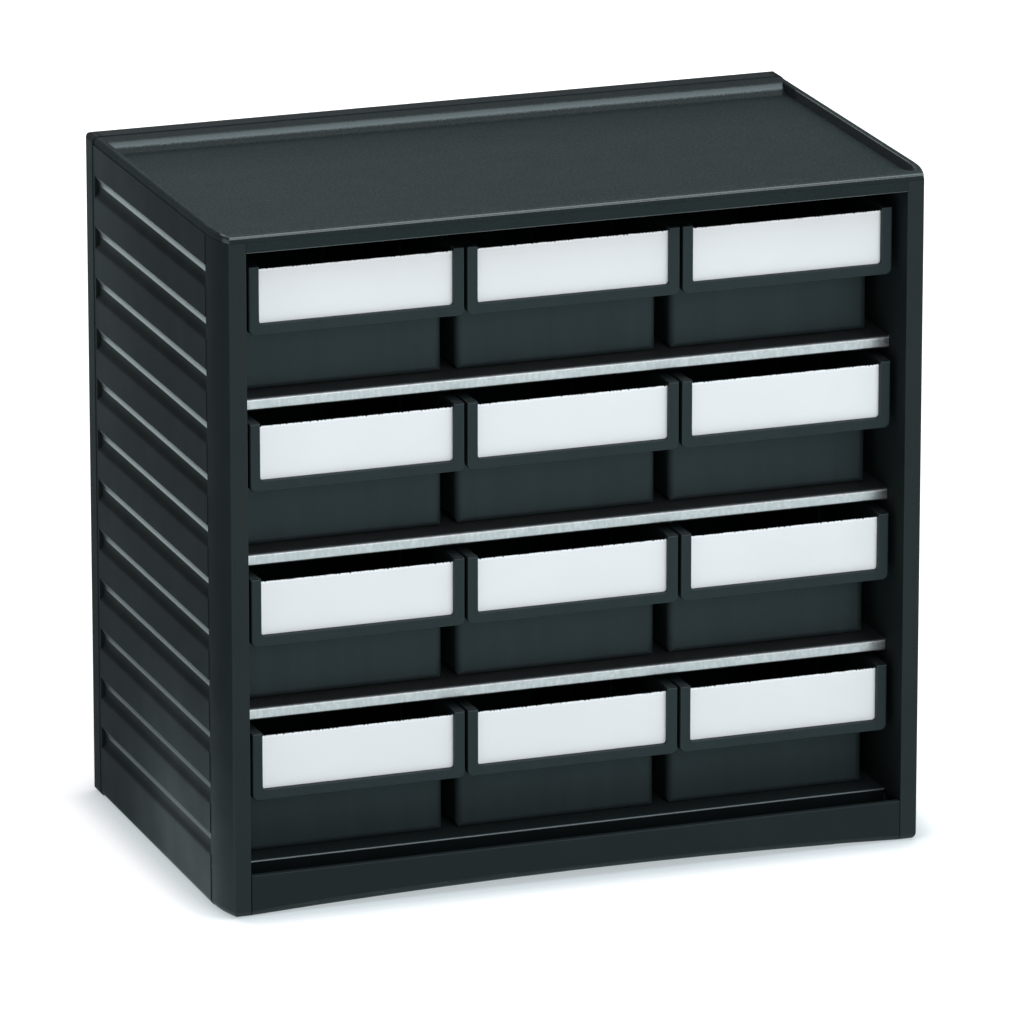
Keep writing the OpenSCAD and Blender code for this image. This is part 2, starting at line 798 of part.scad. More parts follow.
// Countersunk screw with a cross recess, along Z like its seat
module screw() {
    translate([0, 0, -screw_sink]) difference() {
        union() {
            translate([0, 0, -screw_length]) cylinder(h = screw_length, r = screw_r);
            translate([0, 0, -screw_head_h]) cylinder(h = screw_head_h, r1 = screw_r, r2 = screw_head_r);
        }
        for (turn = [0, 90]) rotate(turn)
            translate([-cross_w / 2, -cross_t / 2, -cross_depth])
                cube([cross_w, cross_t, cross_depth + eps]);
    }
}

module back_screws() {
    color([0.6, 0.6, 0.6]) at_screws() screw();
}

// ---- Nodes ----

left_side_panel();
right_side_panel();
top_panel();
base_panel();
back_cover();
back_screws();
shelf(1);  // upper_shelf
shelf(2);  // middle_shelf
shelf(3);  // lower_shelf
for (r = [1:rows]) for (c = [1:columns]) {
    drawer(r, c);
    label(r, c);
}
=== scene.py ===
"""Parts bin cabinet: finish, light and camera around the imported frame. Lengths are in metres."""

import json
import math
import random

import bpy
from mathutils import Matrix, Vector


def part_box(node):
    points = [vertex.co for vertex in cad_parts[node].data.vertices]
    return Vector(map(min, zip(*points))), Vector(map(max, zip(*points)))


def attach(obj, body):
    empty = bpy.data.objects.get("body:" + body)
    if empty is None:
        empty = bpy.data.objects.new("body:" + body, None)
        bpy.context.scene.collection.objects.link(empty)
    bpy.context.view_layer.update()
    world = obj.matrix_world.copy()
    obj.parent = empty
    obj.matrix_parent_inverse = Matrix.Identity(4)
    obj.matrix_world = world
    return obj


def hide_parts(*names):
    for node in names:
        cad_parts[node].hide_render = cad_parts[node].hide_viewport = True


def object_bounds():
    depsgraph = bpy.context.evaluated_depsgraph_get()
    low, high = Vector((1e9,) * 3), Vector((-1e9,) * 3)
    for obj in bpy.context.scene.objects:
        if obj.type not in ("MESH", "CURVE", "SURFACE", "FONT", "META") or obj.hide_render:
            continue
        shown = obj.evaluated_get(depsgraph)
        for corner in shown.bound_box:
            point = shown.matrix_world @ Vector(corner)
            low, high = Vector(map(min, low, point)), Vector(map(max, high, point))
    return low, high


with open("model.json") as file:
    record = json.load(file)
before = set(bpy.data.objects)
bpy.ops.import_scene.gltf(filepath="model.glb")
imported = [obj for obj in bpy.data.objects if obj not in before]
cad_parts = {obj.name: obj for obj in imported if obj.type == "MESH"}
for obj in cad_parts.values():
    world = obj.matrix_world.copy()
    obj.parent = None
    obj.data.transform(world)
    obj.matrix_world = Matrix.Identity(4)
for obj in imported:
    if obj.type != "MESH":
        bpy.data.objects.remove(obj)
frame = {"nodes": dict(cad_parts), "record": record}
CAD_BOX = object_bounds()
MM = 0.001


# ---- Places on the cabinet, read from the frame ----

FRONT, BACK = CAD_BOX[0][1], CAD_BOX[1][1]
RIGHT, TOP = CAD_BOX[1][0], CAD_BOX[1][2]
JAMB = -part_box("left_side_panel")[1][0]
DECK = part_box("base_panel")[1][2]
SHELF_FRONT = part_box("lower_shelf")[0][1]
FRAME_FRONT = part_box("drawer_4_1")[0][1]
CARD_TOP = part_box("label_4_1")[1][2] - DECK
ROW_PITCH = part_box("drawer_3_1")[0][2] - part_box("drawer_4_1")[0][2]


# ---- Node helpers ----

class Graph:
    """A material's node tree, built from calls that return sockets."""

    def __init__(self, name):
        self.material = bpy.data.materials.new(name)
        self.material.use_nodes = True
        self.nodes = self.material.node_tree.nodes
        self.links = self.material.node_tree.links
        self.nodes.clear()
        self.out = self.nodes.new("ShaderNodeOutputMaterial")

    def node(self, kind, **settings):
        n = self.nodes.new(kind)
        for key, value in settings.items():
            setattr(n, key, value)
        return n

    def feed(self, socket, value):
        """Links a socket to another, or sets it to a plain value."""
        if isinstance(value, bpy.types.NodeSocket):
            self.links.new(value, socket)
        else:
            socket.default_value = value

    def component(self, output, axis):
        """One component of the object's own coordinates or of its normal."""
        source = self.node("ShaderNodeTexCoord")
        split = self.node("ShaderNodeSeparateXYZ")
        self.feed(split.inputs[0], source.outputs[output])
        return split.outputs[axis]

    def place(self, axis):
        """One component of the position in the object's own frame, in metres."""
        return self.component("Object", axis)

    def facing(self, axis):
        """One component of the surface normal, in the object's own frame."""
        return self.component("Normal", axis)

    def coords(self, scale=(1, 1, 1), turn=(0, 0, 0)):
        """Object coordinates in metres, stretched by scale."""
        source = self.node("ShaderNodeTexCoord")
        mapping = self.node("ShaderNodeMapping")
        self.feed(mapping.inputs["Vector"], source.outputs["Object"])
        mapping.inputs["Scale"].default_value = scale
        mapping.inputs["Rotation"].default_value = turn
        return mapping.outputs["Vector"]

    def noise(self, vector, scale, detail=2.0, rough=0.5):
        n = self.node("ShaderNodeTexNoise")
        self.feed(n.inputs["Vector"], vector)
        n.inputs["Scale"].default_value = scale
        n.inputs["Detail"].default_value = detail
        n.inputs["Roughness"].default_value = rough
        return n.outputs["Fac"]

    def cells(self, vector, scale, output="Color"):
        n = self.node("ShaderNodeTexVoronoi")
        self.feed(n.inputs["Vector"], vector)
        n.inputs["Scale"].default_value = scale
        return n.outputs[output]

    def spread(self, value, low, high, to_low=0.0, to_high=1.0):
        """Maps low..high of a value onto to_low..to_high, and holds it there beyond both ends."""
        n = self.node("ShaderNodeMapRange")
        self.feed(n.inputs["Value"], value)
        for key, number in zip(("From Min", "From Max", "To Min", "To Max"), (low, high, to_low, to_high)):
            n.inputs[key].default_value = number
        return n.outputs["Result"]

    def math(self, operation, a, b=0.0):
        n = self.node("ShaderNodeMath", operation=operation)
        self.feed(n.inputs[0], a)
        self.feed(n.inputs[1], b)
        return n.outputs[0]

    def size(self, value):
        """A number without its sign."""
        return self.math("ABSOLUTE", value)

    def product(self, *factors):
        result = factors[0]
        for factor in factors[1:]:
            result = self.math("MULTIPLY", result, factor)
        return result

    def greatest(self, *values):
        result = values[0]
        for value in values[1:]:
            result = self.math("MAXIMUM", result, value)
        return result

    def above_deck(self):
        """Height above the deck of the drawer row that a point belongs to."""
        return self.math("MODULO", self.math("SUBTRACT", self.place("Z"), DECK), ROW_PITCH)

    def mix(self, factor, a, b):
        """A colour between a and b."""
        n = self.node("ShaderNodeMix", data_type="RGBA")
        self.feed(n.inputs["Factor"], factor)
        self.feed(n.inputs[6], a)
        self.feed(n.inputs[7], b)
        return n.outputs[2]

    def scaled(self, colour, factor):
        """A colour times a number."""
        n = self.node("ShaderNodeVectorMath", operation="SCALE")
        self.feed(n.inputs[0], colour)
        self.feed(n.inputs["Scale"], factor)
        return n.outputs[0]

    def bump(self, height, distance, strength=1.0):
        n = self.node("ShaderNodeBump")
        n.inputs["Distance"].default_value = distance
        self.feed(n.inputs["Strength"], strength)
        self.feed(n.inputs["Height"], height)
        return n.outputs["Normal"]

    def glow_and_diffuse(self, glow, colour):
        """A shader that gives off one colour and scatters light in another."""
        light = self.node("ShaderNodeEmission")
        self.feed(light.inputs["Color"], glow)
        matt = self.node("ShaderNodeBsdfDiffuse")
        self.feed(matt.inputs["Color"], colour)
        both = self.node("ShaderNodeAddShader")
        self.links.new(light.outputs[0], both.inputs[0])
        self.links.new(matt.outputs[0], both.inputs[1])
        return both.outputs[0]

    def blend(self, factor, a, b):
        """A shader between a and b."""
        n = self.node("ShaderNodeMixShader")
        for socket, value in zip(n.inputs, (factor, a, b)):
            self.links.new(value, socket)
        return n.outputs[0]

    def principled(self, **inputs):
        n = self.node("ShaderNodeBsdfPrincipled")
        for key, value in inputs.items():
            self.feed(n.inputs[key.replace("_", " ")], value)
        self.links.new(n.outputs[0], self.out.inputs["Surface"])


def rgb(red, green, blue):
    return (red, green, blue, 1.0)


def shade(colour, factor):
    """A colour times a number, as a plain value."""
    return tuple(c * factor for c in colour[:3]) + (1.0,)


# ---- Gloss: how much of the clear coat each zone of the plastic has ----

LOW_GROOVE_GLOSS = 0.36
LOW_GROOVE_Z, FULL_GROOVE_Z = 0.055, 0.150
HOUSING_EDGE_GLOSS = 0.095
FOOT_GLOSS = 0.08
DECK_GLOSS = 0.79
RIM_GLOSS = 0.4
SLOPE_GLOSS = 0.9
SLOPE_END_GLOSS = 0.3
DRAWER_EDGE_GLOSS = 0.15


def housing_gloss(g):
    """Smooth zones of the housing: the upper halves of the grooves, fading in the lowest ones, the front edge
    of the deck, and a little of the rounded edges and of the faces that look down."""
    looks_down = g.spread(g.facing("Z"), -0.02, -0.08)
    above_foot = g.spread(g.place("Z"), DECK - 6 * MM, DECK - 4 * MM)
    fade = g.spread(g.place("Z"), LOW_GROOVE_Z, FULL_GROOVE_Z, LOW_GROOVE_GLOSS, 1.0)
    grooves = g.product(looks_down, above_foot, fade)
    forward = g.size(g.facing("Y"))
    rounded = g.product(g.spread(forward, 0.42, 0.50), g.spread(forward, 0.99, 0.95), HOUSING_EDGE_GLOSS)
    underside = g.spread(g.facing("Z"), -0.1, -0.9, 0.0, FOOT_GLOSS)
    deck = g.product(g.spread(g.facing("Y"), -0.2, -0.3), deck_edge(g), DECK_GLOSS)
    return g.greatest(grooves, rounded, underside, deck)


def top_gloss(g):
    """Smooth zones of the top: the rounded edges, the step behind the front band and the slope at the back,
    which shines less where it turns upright."""
    forward = g.math("MULTIPLY", g.facing("Y"), -1.0)
    sideways = g.size(g.facing("X"))
    inside_rims = g.spread(g.size(g.place("X")), RIGHT - 3.0 * MM, RIGHT - 3.5 * MM)
    ahead_of_slope = g.spread(g.place("Y"), BACK - 32 * MM, BACK - 36 * MM)
    turned = g.product(g.spread(forward, 0.03, 0.12), g.spread(forward, 0.99, 0.96))
    edges = g.product(turned, g.spread(sideways, 0.3, 0.1), ahead_of_slope)
    rims = g.product(g.spread(sideways, 0.3, 0.5), inside_rims, ahead_of_slope, RIM_GLOSS)
    near_band = g.spread(g.place("Y"), FRONT + 15 * MM, FRONT + 12 * MM)
    step = g.product(g.spread(g.facing("Y"), 0.05, 0.2), near_band)
    slope = g.product(g.spread(forward, 0.05, 0.38, 0.0, SLOPE_GLOSS),
                      g.spread(forward, 0.99, 0.70, SLOPE_END_GLOSS, 1.0),
                      g.math("SUBTRACT", 1.0, ahead_of_slope))
    return g.greatest(edges, rims, step, slope)


def drawer_gloss(g):
    """The rounded front edges of a drawer's label frame."""
    forward = g.size(g.facing("Y"))
    front = g.spread(g.place("Y"), FRAME_FRONT + 3.0 * MM, FRAME_FRONT + 2.8 * MM)
    return g.product(front, g.spread(forward, 0.97, 0.93), g.spread(forward, 0.10, 0.20), DRAWER_EDGE_GLOSS)


# ---- Painted light and shade: how much of its colour each zone of the plastic keeps, where 1 is all ----

PAINTED_GROOVE_SHADE = 0.95
PAINTED_TROUGH_SHADE = 0.9
PAINTED_SIDE_SHADE = 0.20
PAINTED_DECK_HIGHLIGHT = 4.0
PAINTED_POST_LIGHT = 0.40
PAINTED_TRAY_LIGHT_BACK, PAINTED_TRAY_LIGHT_FRONT = -0.05, 0.75
PAINTED_BAR_LIGHT = 0.15
PAINTED_FRAME_SHADE = 0.25
PAINTED_DRAWER_UPPER_SHADE = 0.7


def deck_edge(g):
    """The front edge of the lowest deck, where the coat shines and where a highlight is painted pale."""
    ahead = g.spread(g.place("Y"), SHELF_FRONT - 0.5 * MM, SHELF_FRONT - 0.1 * MM)
    behind = g.spread(g.place("Y"), SHELF_FRONT + 0.7 * MM, SHELF_FRONT + 0.3 * MM)
    below = g.spread(g.place("Z"), DECK - 0.7 * MM, DECK - 0.5 * MM)
    above = g.spread(g.place("Z"), DECK + 0.6 * MM, DECK + 0.4 * MM)
    return g.product(ahead, behind, below, above)


def housing_painted_light_and_shade(g):
    """Painted shade in the lower halves of the grooves, in the trough behind the apron and on the sides,
    painted light on the posts' fronts and a painted highlight along the front edge of the deck."""
    off_middle = g.size(g.place("X"))
    outer = g.spread(off_middle, RIGHT - 5.0 * MM, RIGHT - 4.5 * MM)
    # Painted shade in the lower halves of the grooves, which face up.
    groove_shade = g.product(g.spread(g.facing("Z"), 0.04, 0.40, 0.0, PAINTED_GROOVE_SHADE), outer)
    # Painted shade in the recess between the apron and the deck.
    under_deck = g.spread(g.place("Z"), DECK - 0.4 * MM, DECK - 0.8 * MM)
    between_sides = g.spread(off_middle, JAMB + 0.8 * MM, JAMB + 0.3 * MM)
    behind_apron = g.spread(g.place("Y"), FRONT + 1.5 * MM, FRONT + 2.2 * MM)
    ahead_of_deck = g.spread(g.place("Y"), SHELF_FRONT + 6 * MM, SHELF_FRONT + 4 * MM)
    trough = g.product(behind_apron, ahead_of_deck, under_deck, between_sides, PAINTED_TROUGH_SHADE)
    # A highlight painted pale along the deck's front edge.
    deck_highlight = g.product(deck_edge(g), PAINTED_DECK_HIGHLIGHT)
    # Painted light on the posts' front faces.
    post_light = g.product(g.spread(g.facing("Y"), -0.90, -0.97, 0.0, PAINTED_POST_LIGHT),
                      g.spread(g.place("Y"), FRONT + 20 * MM, FRONT + 19 * MM),
                      g.spread(off_middle, JAMB - 0.2 * MM, JAMB + 0.3 * MM))
    # Painted shade on the faces that look sideways.
    sides = g.spread(g.size(g.facing("X")), 0.90, 0.97, 0.0, PAINTED_SIDE_SHADE)
    kept = g.math("SUBTRACT", 1.0, g.greatest(groove_shade, trough, sides))
    return g.math("ADD", kept, g.greatest(deck_highlight, post_light))


def top_painted_light(g):
    """Painted light: paler on the level faces, less so towards the back of the tray, and a little on the
    front.
    """
    tray_light = g.spread(g.place("Y"), BACK - 18 * MM, BACK - 70 * MM, PAINTED_TRAY_LIGHT_BACK, PAINTED_TRAY_LIGHT_FRONT)
    level = g.product(g.spread(g.facing("Z"), 0.95, 0.99), tray_light)
    # Painted light on the front faces.
    front = g.spread(g.facing("Y"), -0.90, -0.97, 0.0, PAINTED_BAR_LIGHT)
    return g.math("ADD", 1.0, g.math("ADD", level, front))


def drawer_painted_shade(g):
    """Painted shade: darker on the label frame's face and on the upper edges."""
    frame_shade = g.spread(g.place("Y"), FRAME_FRONT + 4.0 * MM, FRAME_FRONT + 3.5 * MM,
                          0.0, PAINTED_FRAME_SHADE)
    # Painted shade on the faces that look up.
    upper = g.spread(g.facing("Z"), 0.7, 0.9, 0.0, PAINTED_DRAWER_UPPER_SHADE)
    return g.math("SUBTRACT", 1.0, g.greatest(frame_shade, upper))


# ---- Plastics ----

HOUSING_GREY = (0.0146, 0.0180, 0.0178)
TOP_GREY = (0.0142, 0.0195, 0.0192)
DRAWER_GREY = (0.0170, 0.0232, 0.0238)
PLASTIC_TINT = rgb(0.72, 0.96, 1.0)
PLASTIC_SPECULAR = 0.2

CLOUD_SCALE = 14.0
SPECK_SCALE = 1000.0
DUST_SCALE = 160.0
SMEAR_SCALE = 60.0
CLOUD_SHADES = (0.95, 1.05)
GRAIN_SHADE = 1.5
SPECK_SHADE = 2.0
FLOW_SHADE = 1.7
SCRATCH_SHADE = 4.0
DUST_SHADE = 5.0
ROUGHNESS_DRIFT = 0.03
FRONT_BUMP_LOSS = 0.8


def plastic_colour(g, where, fine, colour, speckle, streaks, scratches):
    """The plastic's colour: faint clouds, grain, specks, flow marks, scratches and a few grains of dust."""
    clouds = g.noise(where, CLOUD_SCALE, detail=3.0)
    base = g.mix(g.spread(clouds, 0.3, 0.7), *(shade(colour, s) for s in CLOUD_SHADES))
    base = g.mix(g.spread(fine, 0.35, 0.65, 0.0, 0.35), base, shade(colour, GRAIN_SHADE))
    if speckle:
        spots = g.noise(g.coords(scale=(1, 0.7, 1)), SPECK_SCALE, detail=2.0)
        level = g.spread(g.facing("Z"), 0.6, 0.9, 0.3, 1.0)
        base = g.mix(g.product(g.spread(spots, 0.40, 0.66, 0.0, speckle), level),
                     g.scaled(base, 1.0 - speckle * 0.45), shade(colour, SPECK_SHADE))
    if streaks:
        flow = g.noise(g.coords(scale=(150, 150, 7)), 1.0, detail=3.0, rough=0.55)
        base = g.mix(g.spread(flow, 0.35, 0.7, 0.0, streaks), base, shade(colour, FLOW_SHADE))
    if scratches:
        line = g.noise(g.coords(scale=(9, 900, 900), turn=(0, 0, 0.05)), 1.0, detail=1.0)
        base = g.mix(g.spread(line, 0.76, 0.80, 0.0, scratches), base, shade(colour, SCRATCH_SHADE))
    dust = g.spread(g.cells(where, DUST_SCALE, "Distance"), 0.035, 0.02, 0.0, 0.25)
    return g.mix(dust, base, shade(colour, DUST_SHADE))


def polished(g):
    """Smoother zones of the housing: the sides low at the front and high at the rear, and the level rims."""
    low_front = g.product(g.spread(g.place("Z"), 0.100, 0.020), g.spread(g.place("Y"), 0.045, -0.015))
    high_rear = g.product(g.spread(g.place("Z"), 0.060, 0.250), g.spread(g.place("Y"), -0.010, 0.075), 0.5)
    outer = g.spread(g.size(g.facing("X")), 0.3, 0.6)
    rim = g.product(g.spread(g.facing("Z"), 0.90, 0.98), g.spread(g.place("Z"), TOP - 10 * MM, TOP - 5 * MM))
    return g.greatest(g.product(g.greatest(low_front, high_rear), outer), rim)


def plastic_roughness(g, where, roughness, level_roughness, polish):
    """The plastic's roughness, which drifts a little, with its own value on level faces."""
    smears = g.noise(where, SMEAR_SCALE)
    rough = g.spread(smears, 0.3, 0.7, roughness - ROUGHNESS_DRIFT, roughness + ROUGHNESS_DRIFT)
    if level_roughness:
        level = g.spread(g.facing("Z"), 0.97, 0.99)
        rough = g.math("SUBTRACT", rough, g.math("MULTIPLY", level, roughness - level_roughness))
    if polish:
        rough = g.math("SUBTRACT", rough, g.product(polished(g), polish))
    return rough


def plastic(name, colour, roughness, grain, grain_depth, gloss, tone, coat_roughness, coat_ior=1.7,
            level_roughness=None, polish=0.0, speckle=0.0, streaks=0.0, scratches=0.0):
    """Moulded plastic with an eroded grain, which is shallower on the rounded front edges, under a clear coat
    in its smooth zones."""
    g = Graph(name)
    where = g.coords()
    fine = g.noise(where, grain, detail=3.0, rough=0.6)
    # The colour is scaled by the finish's painted light and shade.
    base = g.scaled(plastic_colour(g, where, fine, colour, speckle, streaks, scratches), tone(g))
    rough = plastic_roughness(g, where, roughness, level_roughness, polish)
    near_front = g.spread(g.place("Y"), FRONT + 22 * MM, FRONT + 16 * MM)
    front_edges = g.product(near_front, g.spread(g.facing("Z"), 0.998, 0.97), FRONT_BUMP_LOSS)
    normal = g.bump(fine, grain_depth, g.math("SUBTRACT", 1.0, front_edges))
    g.principled(Base_Color=base, Roughness=rough, Normal=normal, Specular_IOR_Level=PLASTIC_SPECULAR,
                 Specular_Tint=PLASTIC_TINT, Coat_Weight=gloss(g), Coat_Roughness=coat_roughness,
                 Coat_IOR=coat_ior, Coat_Normal=normal)
    return g.material


# ---- Sheet metal, card and screws ----

SPANGLE_SCALE = 420.0
ZINC_PALE = rgb(0.56, 0.56, 0.555)
ZINC_DULL = rgb(0.40, 0.405, 0.405)
PAINTED_HEM_SHADE = 0.35
PAINTED_ZINC_UPPER_SHADE = 0.22
MARK_DEPTH = 0.01 * MM

CARD_WHITE = rgb(0.870, 0.862, 0.855)
CARD_PALEST = rgb(0.890, 0.882, 0.875)
TORN_WHITE = rgb(1.0, 1.0, 1.0)
FIBRE_SCALE = 1800.0
FIBRE_DEPTH = 0.01 * MM

SCREW_DULL = rgb(0.24, 0.24, 0.23)
SCREW_PALE = rgb(0.34, 0.34, 0.33)


def galvanised(name):
    """Zinc-coated sheet with a fine spangle and rolling marks, rougher on its upper face, with painted shade
    on its upper face and along the hem.
    """
    g = Graph(name)
    where = g.coords()
    spangle = g.cells(where, SPANGLE_SCALE)
    speckle = g.spread(g.noise(where, 900.0, detail=3.0, rough=0.7), 0.3, 0.7)
    marks = g.noise(g.coords(scale=(650, 650, 300)), 1.0, detail=2.0)
    mottled = g.mix(g.math("MULTIPLY", speckle, 0.5), ZINC_DULL, ZINC_PALE)
    spangled = g.mix(g.spread(spangle, 0.2, 0.8, 0.0, 0.5), mottled, ZINC_PALE)
    base = g.mix(g.spread(marks, 0.38, 0.62, 0.0, 0.9), spangled, ZINC_DULL)
    # Painted shade along the lower edge of the hem and on the upper face.
    hem = g.spread(g.above_deck(), ROW_PITCH - 5.6 * MM, ROW_PITCH - 4.1 * MM, PAINTED_HEM_SHADE, 1.0)
    upper = g.spread(g.facing("Z"), 0.15, 0.7, 1.0, PAINTED_ZINC_UPPER_SHADE)
    base = g.scaled(base, g.math("MINIMUM", hem, upper))
    duller_above = g.spread(g.facing("Z"), 0.15, 0.6, 0.0, 0.3)
    rough = g.math("ADD", g.spread(spangle, 0.0, 1.0, 0.26, 0.36), duller_above)
    g.principled(Base_Color=base, Metallic=1.0, Roughness=rough, Normal=g.bump(marks, MARK_DEPTH))
    return g.material


def card(name):
    """Smooth white card, with bare fibres along its torn upper edge."""
    g = Graph(name)
    where = g.coords()
    fibre = g.noise(where, FIBRE_SCALE, detail=4.0, rough=0.7)
    clouds = g.noise(where, 30.0)
    base = g.mix(g.spread(clouds, 0.3, 0.7), CARD_WHITE, CARD_PALEST)
    edge = g.spread(g.above_deck(), CARD_TOP - 1.1 * MM, CARD_TOP - 0.7 * MM)
    base = g.mix(g.product(edge, g.spread(fibre, 0.2, 0.4)), base, TORN_WHITE)
    g.principled(Base_Color=base, Roughness=0.55, Normal=g.bump(fibre, FIBRE_DEPTH), Specular_IOR_Level=0.3)
    return g.material


def zinc(name):
    """Zinc-plated screw steel."""
    g = Graph(name)
    tone = g.spread(g.noise(g.coords(), 700.0), 0.3, 0.7)
    g.principled(Base_Color=g.mix(tone, SCREW_DULL, SCREW_PALE), Metallic=1.0, Roughness=0.38)
    return g.material


FINISHES = {
    "housing_plastic": plastic("housing_plastic", HOUSING_GREY, roughness=0.90, grain=1500.0,
                               grain_depth=0.035 * MM, gloss=housing_gloss, tone=housing_painted_light_and_shade,
                               coat_roughness=0.30, coat_ior=1.82, polish=0.32, speckle=0.2),
    "top_plastic": plastic("top_plastic", TOP_GREY, roughness=0.85, grain=1000.0,
                           grain_depth=0.07 * MM, gloss=top_gloss, tone=top_painted_light,
                           coat_roughness=0.22, level_roughness=0.62, speckle=0.6, scratches=0.4),
    "drawer_plastic": plastic("drawer_plastic", DRAWER_GREY, roughness=0.50, grain=1900.0,
                              grain_depth=0.02 * MM, gloss=drawer_gloss, tone=drawer_painted_shade,
                              coat_roughness=0.20, streaks=0.3),
    "galvanised_sheet": galvanised("galvanised_sheet"),
    "label_card": card("label_card"),
    "screw_steel": zinc("screw_steel"),
}


def finish_nodes():
    """Gives each CAD node the finish of its slot."""
    for part in frame["record"]["subparts"]:
        node = frame["nodes"][part["node"]]
        node.data.materials.clear()
        node.data.materials.append(FINISHES[part["material_slot"]])


# ---- Label cards, torn off a perforated sheet along their upper edge ----

ROWS, COLUMNS = 4, 3
CARD_SEED = 12
CARD_PITCH = 1.4 * MM
CARD_TOOTH = 0.62 * MM
TOOTH_SHARE = (0.3, 1.0)
STEP_SHARE = (0.32, 0.68)
LAST_STEP = 0.6 * CARD_PITCH


def torn_outline(low, high, chance):
    """The card's outline in X and Z: straight below and at the ends, with tips and notches along the top."""
    outline = [(low[0], low[2]), (high[0], low[2])]
    x, tip = high[0], True
    while x > low[0] + LAST_STEP:
        drop = 0.0 if tip else CARD_TOOTH * chance.uniform(*TOOTH_SHARE)
        outline.append((x, high[2] - drop))
        x -= CARD_PITCH * chance.uniform(*STEP_SHARE)
        tip = not tip
    outline.append((low[0], high[2]))
    return outline


def label_card(node, body, chance):
    """A torn card in the box of a CAD label, which it replaces."""
    low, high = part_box(node)
    outline = torn_outline(low, high, chance)
    count = len(outline)
    points = [(x, y, z) for y in (low[1], high[1]) for x, z in outline]
    faces = [tuple(range(count)), tuple(range(2 * count - 1, count - 1, -1))]
    faces += [(k, k + count, (k + 1) % count + count, (k + 1) % count) for k in range(count)]
    name = "card_" + node.removeprefix("label_")
    mesh = bpy.data.meshes.new(name)
    mesh.from_pydata(points, [], faces)
    mesh.materials.append(FINISHES["label_card"])
    mesh.validate()
    piece = bpy.data.objects.new(name, mesh)
    bpy.context.scene.collection.objects.link(piece)
    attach(piece, body)
    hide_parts(node)


def label_cards():
    chance = random.Random(CARD_SEED)
    for row in range(1, ROWS + 1):
        for column in range(1, COLUMNS + 1):
            label_card(f"label_{row}_{column}", f"drawer_{row}_{column}_body", chance)


# ---- Floor ----

FLOOR_SIZE = 60.0
CONTACT_REACH = 0.020
CONTACT_LEAN = (0.42, 0.0, 0.91)
GLOW_RADII = (1.2, 3.0)
GLOW_LEVELS = (0.70, 1.0)
NO_GLOW = rgb(0.0, 0.0, 0.0)
PAPER = rgb(0.80, 0.80, 0.80)
PAINTED_SHADOW_GLOW = rgb(0.42, 0.455, 0.47)
PAINTED_SHADOW_COLOUR = rgb(0.46, 0.47, 0.475)
OPEN_COLOUR = rgb(0.82, 0.79, 0.78)
MIRRORED_GLOW = rgb(0.86, 1.03, 1.06)
MIRRORED_COLOUR = rgb(0.36, 0.36, 0.36)


def floor_material():
    """Pale floor: plain paper for the light that it throws back, near white for the camera and in
    reflections, with a painted contact shadow where the object stands close to it, and clear to a camera
    below it."""
    g = Graph("floor")
    path = g.node("ShaderNodeLightPath")
    reflected = g.greatest(path.outputs["Is Glossy Ray"], path.outputs["Is Transmission Ray"])
    contact = g.node("ShaderNodeAmbientOcclusion", samples=8)
    contact.inputs["Distance"].default_value = CONTACT_REACH
    contact.inputs["Normal"].default_value = CONTACT_LEAN
    # Painted contact shadow: the floor's glow and colour darken where the object is close.
    open_floor = g.spread(contact.outputs["AO"], 0.60, 0.97)
    radius = g.node("ShaderNodeVectorMath", operation="LENGTH")
    g.feed(radius.inputs[0], g.coords())
    glow = g.spread(radius.outputs["Value"], *GLOW_RADII, *GLOW_LEVELS)
    paper = g.glow_and_diffuse(NO_GLOW, PAPER)
    white = g.glow_and_diffuse(g.mix(open_floor, PAINTED_SHADOW_GLOW, glow),
                               g.mix(open_floor, PAINTED_SHADOW_COLOUR, OPEN_COLOUR))
    mirrored = g.glow_and_diffuse(MIRRORED_GLOW, MIRRORED_COLOUR)
    clear = g.node("ShaderNodeBsdfTransparent")
    side = g.node("ShaderNodeNewGeometry")
    white = g.blend(side.outputs["Backfacing"], white, clear.outputs[0])
    seen = g.blend(path.outputs["Is Camera Ray"], paper, white)
    g.links.new(g.blend(reflected, seen, mirrored), g.out.inputs["Surface"])
    return g.material


def make_floor():
    half = FLOOR_SIZE / 2
    mesh = bpy.data.meshes.new("floor")
    corners = [(-half, -half, 0), (half, -half, 0), (half, half, 0), (-half, half, 0)]
    mesh.from_pydata(corners, [], [(0, 1, 2, 3)])
    mesh.materials.append(floor_material())
    floor = bpy.data.objects.new("floor", mesh)
    bpy.context.scene.collection.objects.link(floor)


# ---- Light ----

DAYLIGHT = (0.94, 0.965, 1.0)
SKYLIGHT = (0.75, 0.93, 1.0)
SKY_STRENGTH = 0.30
MIDDLE = (0.0, 0.0, 0.15)


def make_world():
    """A soft sky that lights the object and shows as white to the camera."""
    world = bpy.data.worlds.new("studio")
    bpy.context.scene.world = world
    world.use_nodes = True
    nodes, links = world.node_tree.nodes, world.node_tree.links
    sky = nodes["Background"]
    sky.inputs["Color"].default_value = DAYLIGHT + (1.0,)
    sky.inputs["Strength"].default_value = SKY_STRENGTH
    white = nodes.new("ShaderNodeBackground")
    white.inputs["Color"].default_value = (1.0, 1.0, 1.0, 1.0)
    path = nodes.new("ShaderNodeLightPath")
    both = nodes.new("ShaderNodeMixShader")
    for socket, value in zip(both.inputs, (path.outputs["Is Camera Ray"], sky.outputs[0], white.outputs[0])):
        links.new(value, socket)
    links.new(both.outputs[0], nodes["World Output"].inputs["Surface"])


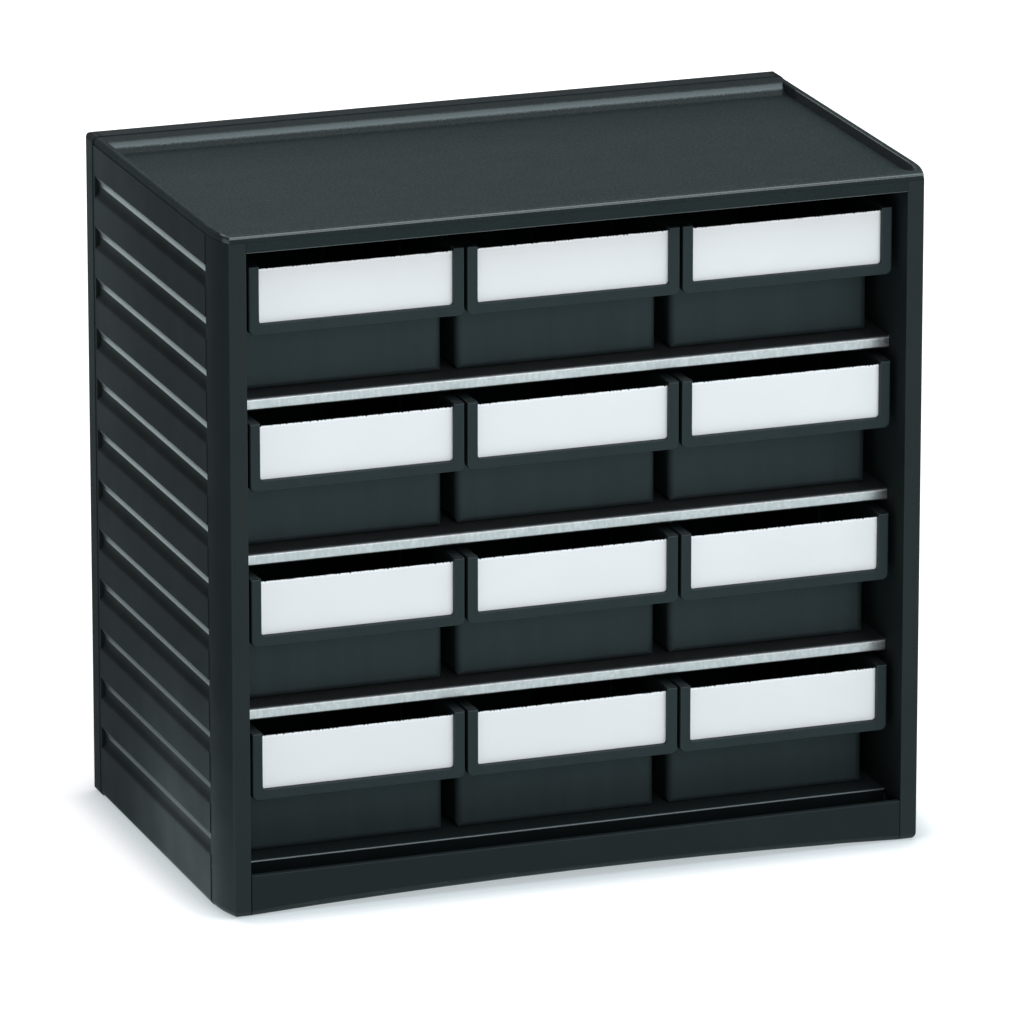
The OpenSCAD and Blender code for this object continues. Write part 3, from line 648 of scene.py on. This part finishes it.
def softbox(name, at, aim, size, power, colour=DAYLIGHT):
    """A rectangular lamp that faces a point."""
    light = bpy.data.lights.new(name, "AREA")
    light.shape = "RECTANGLE"
    light.size, light.size_y = size
    light.energy = power
    light.color = colour
    box = bpy.data.objects.new(name, light)
    bpy.context.scene.collection.objects.link(box)
    box.location = at
    box.rotation_euler = (Vector(aim) - Vector(at)).to_track_quat("-Z", "Y").to_euler()


def make_lights():
    softbox("overhead", at=(0.50, -0.90, 1.90), aim=(0.0, 0.0, 0.2), size=(1.6, 1.3), power=19.0,
            colour=SKYLIGHT)
    softbox("front", at=(0.35, -3.05, 0.95), aim=MIDDLE, size=(2.4, 1.7), power=39.5)
    softbox("rear", at=(-0.8, 2.8, 2.0), aim=MIDDLE, size=(2.0, 1.2), power=29.0)
    softbox("rear_fill", at=(0.45, 1.7, 0.15), aim=(0.15, 0.0, 0.15), size=(1.0, 0.22), power=5.5)
    softbox("right_fill", at=(1.8, 0.3, 0.15), aim=MIDDLE, size=(1.4, 0.22), power=5.0)
    softbox("left_fill", at=(-1.8, -0.3, 0.15), aim=MIDDLE, size=(1.4, 0.22), power=0.8)


# ---- Camera ----

AIM = Vector((0.0025, 0.0, 0.1333))
AZIMUTH = math.radians(-19.752)
ELEVATION = math.radians(16.849)
DISTANCE = 3.9948
FOCAL_PIXELS = 9523.1
FRAME_PIXELS = 1024
SENSOR = 36.0
CLIP_END = 50.0


def make_camera():
    """The camera at the photograph's viewing angle, without shift."""
    data = bpy.data.cameras.new("camera")
    data.sensor_width = SENSOR
    data.lens = SENSOR * FOCAL_PIXELS / FRAME_PIXELS
    data.clip_end = CLIP_END
    camera = bpy.data.objects.new("camera", data)
    bpy.context.scene.collection.objects.link(camera)
    back = Vector((math.sin(AZIMUTH) * math.cos(ELEVATION), -math.cos(AZIMUTH) * math.cos(ELEVATION),
                   math.sin(ELEVATION)))
    camera.location = AIM + back * DISTANCE
    camera.rotation_euler = (math.pi / 2 - ELEVATION, 0.0, AZIMUTH)
    bpy.context.scene.camera = camera


finish_nodes()
label_cards()
make_floor()
make_world()
make_lights()
make_camera()
bpy.context.scene.view_settings.view_transform = "Standard"
